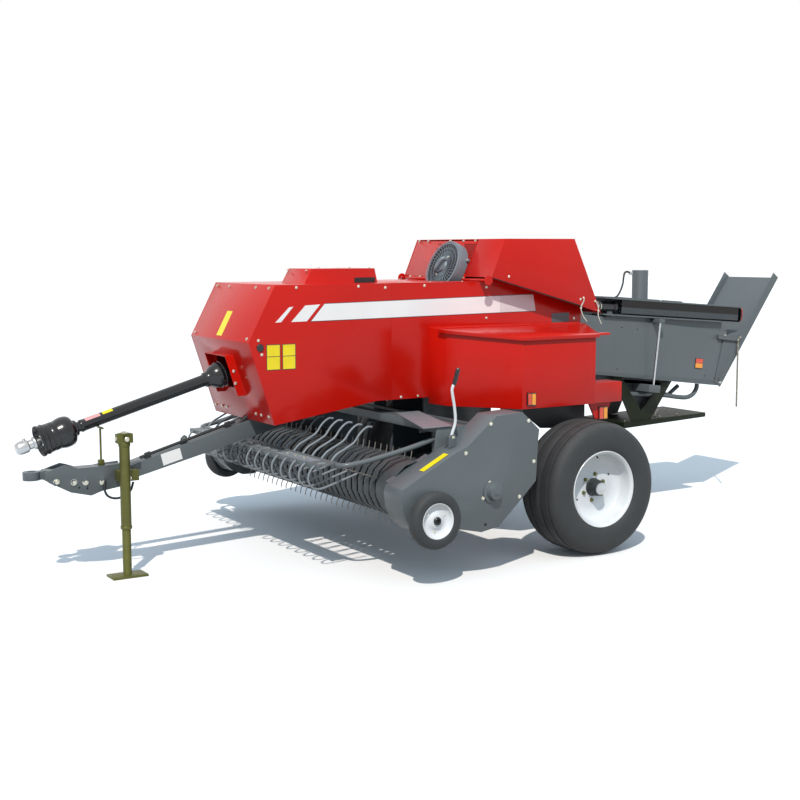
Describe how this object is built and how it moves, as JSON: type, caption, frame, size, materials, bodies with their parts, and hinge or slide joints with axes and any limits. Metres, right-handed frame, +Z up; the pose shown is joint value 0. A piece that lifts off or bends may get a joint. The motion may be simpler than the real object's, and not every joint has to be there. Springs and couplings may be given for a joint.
{
  "type": "square baler",
  "caption": "Towed inline square baler: hooded driveline, low pickup with side covers, twine boxes, bale chamber with folded chute, two tyres and a parking jack.",
  "frame": {"origin": "middle of the footprint, on the floor that the tyres and the jack stand on", "axes": "+X forward towards the tractor, +Y to the machine's left, +Z up"},
  "size_m": [5.498, 2.714, 1.848],
  "materials": {
    "body_red": "gloss",
    "frame_grey": "satin",
    "dark_steel": "satin",
    "rim_white": "gloss",
    "black_plastic": "matte",
    "tyre_rubber": "matte",
    "bare_steel": "satin",
    "plated_olive": "satin"
  },
  "bodies": {
    "machine": {"frame_rails": "frame_grey", "axle_beam": "frame_grey", "drawbar": "frame_grey", "hitch_head": "dark_steel", "jack_tube": "plated_olive", "shaft_rest": "dark_steel", "driveline_block": "dark_steel", "front_hood": "body_red", "shaft_guard_box": "body_red", "side_shield_left": "body_red", "side_shield_right": "body_red", "top_cover": "body_red", "knotter_front_panel": "body_red", "fan_guard": "black_plastic", "knotter_deck": "frame_grey", "bale_chamber": "frame_grey", "feed_housing": "dark_steel", "tension_rail_left": "dark_steel", "tension_rail_right": "dark_steel", "tension_bars": "dark_steel", "oil_tank": "frame_grey", "chain_arm": "dark_steel", "chute_chain": "bare_steel", "needle_guard": "dark_steel", "drawbar_hose": "black_plastic", "twine_box_left": "body_red", "twine_box_right": "body_red"},
    "jack_leg": {"jack_leg": "plated_olive"},
    "drive_shaft": {"drive_shaft_rear": "black_plastic"},
    "drive_shaft_front": {"drive_shaft_front": "black_plastic"},
    "fan": {"fan_rotor": "black_plastic"},
    "knotter_hood": {"knotter_hood": "body_red"},
    "bale_chute": {"bale_chute": "frame_grey"},
    "lid_left": {"twine_lid_left": "body_red"},
    "lid_right": {"twine_lid_right": "body_red"},
    "pickup": {"pickup_frame": "frame_grey", "pickup_end_left": "frame_grey", "pickup_end_right": "frame_grey", "stripper_bands": "frame_grey", "height_lever": "black_plastic"},
    "reel": {"tine_reel": "bare_steel"},
    "wind_guard": {"wind_guard": "frame_grey"},
    "auger_left": {"auger_left": "bare_steel"},
    "auger_right": {"auger_right": "bare_steel"},
    "wheel_left": {"tyre_left": "tyre_rubber", "rim_left": "rim_white"},
    "wheel_right": {"tyre_right": "tyre_rubber", "rim_right": "rim_white"},
    "gauge_left": {"gauge_wheel_left": "tyre_rubber"},
    "gauge_right": {"gauge_wheel_right": "tyre_rubber"}
  },
  "joints": [
    {"name": "jack_slide", "type": "slide", "parent": "machine", "child": "jack_leg", "axis": [0, 0, 1], "range_m": [0, 0.22]},
    {"name": "drive_shaft_pitch", "type": "hinge", "parent": "machine", "child": "drive_shaft", "pos_m": [1.5213, 0, 1.08], "axis": [0, -1, 0], "range_deg": [0, 20]},
    {"name": "drive_shaft_slide", "type": "slide", "parent": "drive_shaft", "child": "drive_shaft_front", "axis": [0.9603, 0, -0.279], "range_m": [0, 0.2]},
    {"name": "fan_spin", "type": "hinge", "parent": "machine", "child": "fan", "pos_m": [-0.02857, 0.03, 1.65555], "axis": [0.9198, 0, 0.3925], "continuous": true},
    {"name": "knotter_hood_tilt", "type": "hinge", "parent": "machine", "child": "knotter_hood", "pos_m": [0.0113, 0, 1.598], "axis": [0, 1, 0], "range_deg": [0, 45]},
    {"name": "chute_fold", "type": "hinge", "parent": "machine", "child": "bale_chute", "pos_m": [-2.18367, 0, 0.85501], "axis": [0, -1, 0], "range_deg": [0, 60]},
    {"name": "lid_left_hinge", "type": "hinge", "parent": "machine", "child": "lid_left", "pos_m": [-0.3387, 0.51646, 1.32269], "axis": [1, 0, 0], "range_deg": [0, 80]},
    {"name": "lid_right_hinge", "type": "hinge", "parent": "machine", "child": "lid_right", "pos_m": [-0.3387, -0.51646, 1.32269], "axis": [-1, 0, 0], "range_deg": [0, 80]},
    {"name": "pickup_lift", "type": "hinge", "parent": "machine", "child": "pickup", "pos_m": [0.3213, 0, 0.72], "axis": [0, 1, 0], "range_deg": [0, 20]},
    {"name": "reel_spin", "type": "hinge", "parent": "pickup", "child": "reel", "pos_m": [0.8813, 0, 0.485], "axis": [0, 1, 0], "continuous": true},
    {"name": "wind_guard_swing", "type": "hinge", "parent": "pickup", "child": "wind_guard", "pos_m": [0.7113, 0, 0.765], "axis": [0, -1, 0], "range_deg": [0, 4]},
    {"name": "auger_left_spin", "type": "hinge", "parent": "pickup", "child": "auger_left", "pos_m": [0.5173, 0.5, 0.475], "axis": [0, 1, 0], "continuous": true},
    {"name": "wheel_left_spin", "type": "hinge", "parent": "machine", "child": "wheel_left", "pos_m": [-0.3387, 1.02, 0.3935], "axis": [0, 1, 0], "continuous": true},
    {"name": "gauge_left_spin", "type": "hinge", "parent": "pickup", "child": "gauge_left", "pos_m": [0.9323, 1.318, 0.376], "axis": [0, 1, 0], "continuous": true},
    {"name": "auger_right_spin", "type": "hinge", "parent": "pickup", "child": "auger_right", "pos_m": [0.5173, -0.5, 0.475], "axis": [0, 1, 0], "continuous": true},
    {"name": "wheel_right_spin", "type": "hinge", "parent": "machine", "child": "wheel_right", "pos_m": [-0.3387, -1.02, 0.3935], "axis": [0, 1, 0], "continuous": true},
    {"name": "gauge_right_spin", "type": "hinge", "parent": "pickup", "child": "gauge_right", "pos_m": [0.9323, -1.318, 0.376], "axis": [0, 1, 0], "continuous": true}
  ]
}
